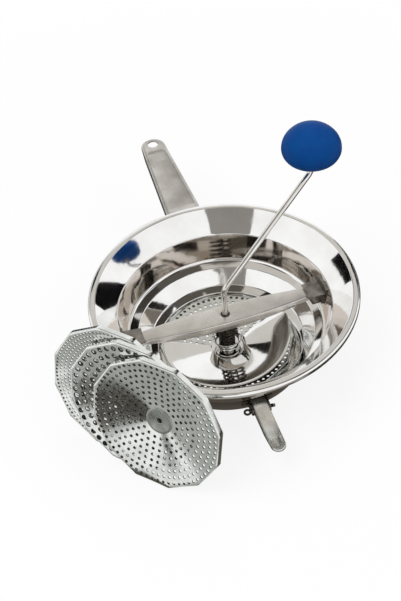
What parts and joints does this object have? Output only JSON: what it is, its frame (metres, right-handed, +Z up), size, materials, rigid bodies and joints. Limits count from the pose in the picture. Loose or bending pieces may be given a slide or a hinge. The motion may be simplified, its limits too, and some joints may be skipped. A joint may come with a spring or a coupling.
{
  "type": "food mill",
  "caption": "Stepped steel bowl with a perforated grid, a spring-loaded crank blade under a bayonet bridge, a hollow handle, a folding rest leg and spare grids.",
  "frame": {"origin": "bowl axis at the standing face under the base skirt", "axes": "+Z up along the bowl axis, +Y along the handle, the folding leg along -Y, the bridge bar along X"},
  "size_m": [0.3758, 0.52, 0.254],
  "materials": {
    "polished_steel": "mirror polished stainless steel",
    "satin_steel": "satin stainless steel",
    "grid_steel": "punched bright steel sheet",
    "spring_steel": "dark drawn spring wire",
    "blue_plastic": "moulded blue plastic, soft gloss"
  },
  "bodies": {
    "bowl_body": {"bowl": "polished_steel", "base_skirt": "satin_steel", "handle": "satin_steel", "leg_bracket": "satin_steel", "leg_bracket_rivets": "satin_steel", "leg_pin": "satin_steel", "lug_left": "satin_steel", "lug_right": "satin_steel", "grid": "grid_steel", "grid_boss": "grid_steel", "spare_grid_fine": "grid_steel", "spare_grid_fine_boss": "grid_steel", "spare_grid_coarse": "grid_steel", "spare_grid_coarse_boss": "grid_steel", "spare_grid_medium": "grid_steel", "spare_grid_medium_boss": "grid_steel"},
    "bridge_body": {"bridge_bar": "satin_steel", "bridge_bush": "satin_steel", "spring_washer": "satin_steel", "spring": "spring_steel"},
    "lift_body": {"spring_cup": "polished_steel"},
    "crank_body": {"crank_rod": "polished_steel", "hub_pin": "satin_steel", "blade_hub": "satin_steel", "blade": "polished_steel", "knob_clip": "satin_steel", "knob_washer": "satin_steel"},
    "knob_body": {"knob": "blue_plastic", "knob_sleeve": "satin_steel"},
    "leg_body": {"leg": "satin_steel"}
  },
  "joints": [
    {"name": "bridge_turn", "type": "hinge", "parent": "bowl_body", "child": "bridge_body", "pos_m": [0, 0, 0.06], "axis": [0, 0, 1], "range_deg": [0, 40]},
    {"name": "blade_lift", "type": "slide", "parent": "bridge_body", "child": "lift_body", "axis": [0, 0, 1], "range_m": [0, 0.004], "stiffness_N_per_m": 2000, "springref_m": -0.006, "deforming": ["spring"]},
    {"name": "crank_turn", "type": "hinge", "parent": "lift_body", "child": "crank_body", "pos_m": [0, 0, 0.05], "axis": [0, 0, 1], "continuous": true},
    {"name": "knob_spin", "type": "hinge", "parent": "crank_body", "child": "knob_body", "pos_m": [0.13087, 0.06242, 0.22], "axis": [0, 0, 1], "continuous": true},
    {"name": "leg_fold", "type": "hinge", "parent": "bowl_body", "child": "leg_body", "pos_m": [0, -0.1215, 0.032], "axis": [1, 0, 0], "range_deg": [0, 95]}
  ]
}
